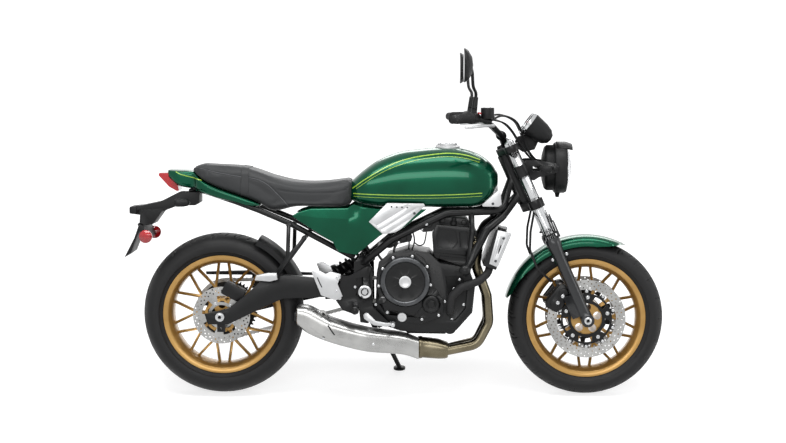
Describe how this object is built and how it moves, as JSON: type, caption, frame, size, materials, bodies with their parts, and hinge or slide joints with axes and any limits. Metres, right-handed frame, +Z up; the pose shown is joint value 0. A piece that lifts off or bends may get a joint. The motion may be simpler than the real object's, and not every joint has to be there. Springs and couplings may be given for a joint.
{
  "type": "standard motorcycle",
  "caption": "Standard road motorcycle with a round lamp, twin gauges, green tank and gold wheels, parked leaning on its side stand.",
  "frame": {"origin": "bottom centre of the box round the parked, leaning motorcycle", "axes": "+X forward, +Y to its left, +Z up; it leans 10 degrees towards +Y"},
  "size_m": [2.081, 0.85, 1.3701],
  "materials": {
    "green paint": "gloss",
    "black paint": "satin",
    "black plastic": "satin",
    "gold paint": "satin",
    "tyre rubber": "matte",
    "grip rubber": "matte",
    "bright steel": "polished",
    "brushed steel": "brushed",
    "header steel": "heat-tinted",
    "silver aluminium": "satin",
    "engine black": "satin",
    "seat cover": "matte",
    "red lens": "gloss",
    "clear lens": "gloss",
    "mirror": "polished",
    "gauge dial": "gloss"
  },
  "bodies": {
    "frame": {"frame": "black paint", "subframe": "black paint", "engine_case": "engine black", "cylinder_head": "engine black", "clutch_cover": "engine black", "left_covers": "engine black", "radiator": "engine black", "radiator_covers": "silver aluminium", "coolant_hose": "grip rubber", "headers": "header steel", "muffler": "brushed steel", "fuel_tank": "green paint", "side_covers": "green paint", "side_panels": "silver aluminium", "seat": "seat cover", "tail_cowl": "green paint", "red_lenses": "red lens", "plate_hanger": "black plastic", "rear_indicators": "black plastic", "swingarm": "black paint", "swing_arms": "black paint", "rear_axle": "silver aluminium", "hugger": "black plastic", "chain": "brushed steel", "chain_guard": "black plastic", "rear_shock": "black paint", "rear_caliper": "black paint", "spool_bosses": "black paint", "footrests": "black paint", "footrest_plates": "silver aluminium", "pedals": "silver aluminium"},
    "steering": {"fork_tubes": "bright steel", "fork_sliders": "black paint", "triple_clamps": "black paint", "handlebar": "black paint", "grips": "grip rubber", "switch_housings": "black plastic", "levers": "silver aluminium", "mirrors": "black plastic", "mirror_glass": "mirror", "gauges": "black plastic", "gauge_faces": "gauge dial", "headlight_shell": "black plastic", "headlight_lens": "clear lens", "headlight_brackets": "black paint", "front_indicators": "black plastic", "front_fender": "green paint", "front_axle": "silver aluminium", "front_calipers": "black paint", "front_hoses": "grip rubber"},
    "front_wheel": {"front_tyre": "tyre rubber", "front_rim": "gold paint", "front_discs": "brushed steel"},
    "rear_wheel": {"rear_tyre": "tyre rubber", "rear_rim": "gold paint", "rear_disc": "brushed steel", "sprocket": "black paint"},
    "side_stand": {"side_stand": "black paint"},
    "fuel_cap": {"fuel_cap": "silver aluminium"}
  },
  "joints": [
    {"name": "steering_head", "type": "hinge", "parent": "frame", "child": "steering", "pos_m": [0.46814, -0.0487, 0.82402], "axis": [-0.4067, 0.1586, 0.8997], "range_deg": [-35, 35]},
    {"name": "front_wheel_turn", "type": "hinge", "parent": "steering", "child": "front_wheel", "pos_m": [0.7405, -0.14169, 0.29664], "axis": [0, 0.9848, -0.1736], "continuous": true},
    {"name": "rear_wheel_turn", "type": "hinge", "parent": "frame", "child": "rear_wheel", "pos_m": [-0.6645, -0.1395, 0.30911], "axis": [0, 0.9848, -0.1736], "continuous": true},
    {"name": "side_stand_fold", "type": "hinge", "parent": "frame", "child": "side_stand", "pos_m": [-0.0445, -0.03826, 0.1807], "axis": [0.2246, 0.7808, 0.5831], "range_deg": [0, 100]},
    {"name": "fuel_cap_hinge", "type": "hinge", "parent": "frame", "child": "fuel_cap", "pos_m": [0.1615, -0.02565, 0.95477], "axis": [0, -0.9848, 0.1736], "range_deg": [0, 100]}
  ]
}
